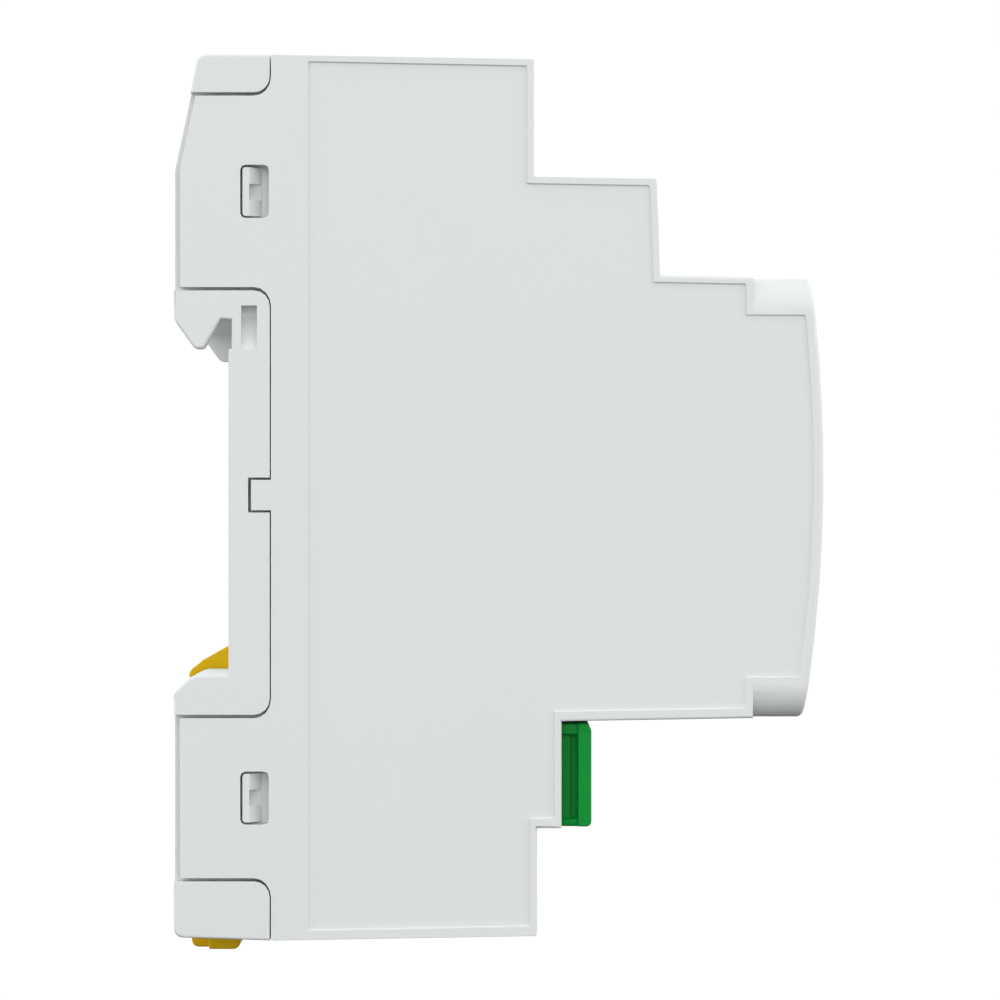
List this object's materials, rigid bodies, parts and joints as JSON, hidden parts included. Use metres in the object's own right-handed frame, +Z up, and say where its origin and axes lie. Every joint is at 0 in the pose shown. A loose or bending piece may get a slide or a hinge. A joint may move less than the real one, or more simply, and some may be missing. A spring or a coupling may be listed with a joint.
{
  "type": "din rail timer",
  "caption": "Digital time switch for a 35 mm mounting rail: stepped light grey case, yellow rail latch, clear front flap over display and buttons, green terminal openers.",
  "frame": {"origin": "centre of the seat that bears on the rail, level with the rail's middle and midway across the width", "axes": "+X out of the wall towards the display, +Y along the rail, +Z up"},
  "size_m": [0.066, 0.045, 0.0925],
  "materials": {
    "case_plastic": "fine spark-eroded light grey, slightly satin",
    "latch_plastic": "yellow, satin",
    "opener_plastic": "green, satin",
    "clear_flap": "clear, polished",
    "clear_plastic": "clear, polished",
    "lcd": "reflective grey-green display",
    "fascia_plastic": "mid grey, satin",
    "button_plastic": "dark grey, satin",
    "component_black": "moulded black",
    "board_laminate": "green solder mask",
    "spring_steel": "bright rolled strip and wire",
    "tinned_copper": "tin plate",
    "film_yellow": "moulded box",
    "varistor_blue": "dipped coating",
    "resistor_ceramic": "lacquered",
    "grey_plastic": "glass-filled, matt"
  },
  "bodies": {
    "case": {"rear_base": "case_plastic", "front_housing": "case_plastic", "latch_spring": "spring_steel", "fascia_plate": "fascia_plastic", "display_window": "clear_plastic", "lcd_panel": "lcd", "backlight_guide": "clear_plastic", "tact_switch_1": "component_black", "tact_switch_2": "component_black", "tact_switch_3": "component_black", "tact_switch_4": "component_black", "display_board": "board_laminate", "microcontroller": "component_black", "quartz_crystal": "spring_steel", "battery_cell": "spring_steel", "battery_clip": "spring_steel", "ribbon_socket_rear": "grey_plastic", "ribbon_socket_front": "grey_plastic", "ribbon_cable": "grey_plastic", "power_board": "board_laminate", "relay": "component_black", "film_capacitor": "film_yellow", "smoothing_capacitor_large": "component_black", "smoothing_capacitor_small": "component_black", "varistor": "varistor_blue", "bridge_rectifier": "component_black", "fusible_resistor": "resistor_ceramic", "terminal_carrier": "grey_plastic", "busbar_1": "tinned_copper", "busbar_2": "tinned_copper", "busbar_3": "tinned_copper", "busbar_4": "tinned_copper", "busbar_5": "tinned_copper"},
    "rail_latch": {"din_latch": "latch_plastic"},
    "flap": {"display_flap": "clear_flap"},
    "menu_button": {"button_menu": "button_plastic"},
    "minus_button": {"button_minus": "button_plastic"},
    "plus_button": {"button_plus": "button_plastic"},
    "ok_button": {"button_ok": "button_plastic"},
    "opener_body_1": {"opener_1": "opener_plastic"},
    "opener_body_2": {"opener_2": "opener_plastic"},
    "opener_body_3": {"opener_3": "opener_plastic"},
    "opener_body_4": {"opener_4": "opener_plastic"},
    "opener_body_5": {"opener_5": "opener_plastic"},
    "clamp_body_1": {"clamp_spring_1": "spring_steel"},
    "clamp_body_2": {"clamp_spring_2": "spring_steel"},
    "clamp_body_3": {"clamp_spring_3": "spring_steel"},
    "clamp_body_4": {"clamp_spring_4": "spring_steel"},
    "clamp_body_5": {"clamp_spring_5": "spring_steel"}
  },
  "joints": [
    {"name": "latch_pull", "type": "slide", "parent": "case", "child": "rail_latch", "axis": [0, 0, -1], "range_m": [0, 0.0033], "stiffness_N_per_m": 600, "springref_m": -0.003, "deforming": ["latch_spring"]},
    {"name": "flap_hinge", "type": "hinge", "parent": "case", "child": "flap", "pos_m": [0.0586, 0, 0.0163], "axis": [0, -1, 0], "range_deg": [0, 95]},
    {"name": "menu_press", "type": "slide", "parent": "case", "child": "menu_button", "axis": [-1, 0, 0], "range_m": [0, 0.0006], "stiffness_N_per_m": 1500, "springref_m": -0.0003},
    {"name": "minus_press", "type": "slide", "parent": "case", "child": "minus_button", "axis": [-1, 0, 0], "range_m": [0, 0.0006], "stiffness_N_per_m": 1500, "springref_m": -0.0003},
    {"name": "plus_press", "type": "slide", "parent": "case", "child": "plus_button", "axis": [-1, 0, 0], "range_m": [0, 0.0006], "stiffness_N_per_m": 1500, "springref_m": -0.0003},
    {"name": "ok_press", "type": "slide", "parent": "case", "child": "ok_button", "axis": [-1, 0, 0], "range_m": [0, 0.0006], "stiffness_N_per_m": 1500, "springref_m": -0.0003},
    {"name": "opener_1_press", "type": "slide", "parent": "case", "child": "opener_body_1", "axis": [-1, 0, 0], "range_m": [0, 0.002], "stiffness_N_per_m": 2500, "springref_m": -0.0006},
    {"name": "opener_2_press", "type": "slide", "parent": "case", "child": "opener_body_2", "axis": [-1, 0, 0], "range_m": [0, 0.002], "stiffness_N_per_m": 2500, "springref_m": -0.0006},
    {"name": "opener_3_press", "type": "slide", "parent": "case", "child": "opener_body_3", "axis": [-1, 0, 0], "range_m": [0, 0.002], "stiffness_N_per_m": 2500, "springref_m": -0.0006},
    {"name": "opener_4_press", "type": "slide", "parent": "case", "child": "opener_body_4", "axis": [-1, 0, 0], "range_m": [0, 0.002], "stiffness_N_per_m": 2500, "springref_m": -0.0006},
    {"name": "opener_5_press", "type": "slide", "parent": "case", "child": "opener_body_5", "axis": [-1, 0, 0], "range_m": [0, 0.002], "stiffness_N_per_m": 2500, "springref_m": -0.0006},
    {"name": "clamp_1_turn", "type": "hinge", "parent": "case", "child": "clamp_body_1", "pos_m": [0.02346, -0.01768, -0.0344], "axis": [0, 1, 0], "range_deg": [0, 28.1]},
    {"name": "clamp_2_turn", "type": "hinge", "parent": "case", "child": "clamp_body_2", "pos_m": [0.02346, -0.00884, -0.0344], "axis": [0, 1, 0], "range_deg": [0, 28.1]},
    {"name": "clamp_3_turn", "type": "hinge", "parent": "case", "child": "clamp_body_3", "pos_m": [0.02346, 0, -0.0344], "axis": [0, 1, 0], "range_deg": [0, 28.1]},
    {"name": "clamp_4_turn", "type": "hinge", "parent": "case", "child": "clamp_body_4", "pos_m": [0.02346, 0.00884, -0.0344], "axis": [0, 1, 0], "range_deg": [0, 28.1]},
    {"name": "clamp_5_turn", "type": "hinge", "parent": "case", "child": "clamp_body_5", "pos_m": [0.02346, 0.01768, -0.0344], "axis": [0, 1, 0], "range_deg": [0, 28.1]}
  ],
  "couplings": [
    {"joint": "clamp_1_turn", "follows": "opener_1_press", "rad_per_m": 244.5},
    {"joint": "clamp_2_turn", "follows": "opener_2_press", "rad_per_m": 244.5},
    {"joint": "clamp_3_turn", "follows": "opener_3_press", "rad_per_m": 244.5},
    {"joint": "clamp_4_turn", "follows": "opener_4_press", "rad_per_m": 244.5},
    {"joint": "clamp_5_turn", "follows": "opener_5_press", "rad_per_m": 244.5}
  ]
}
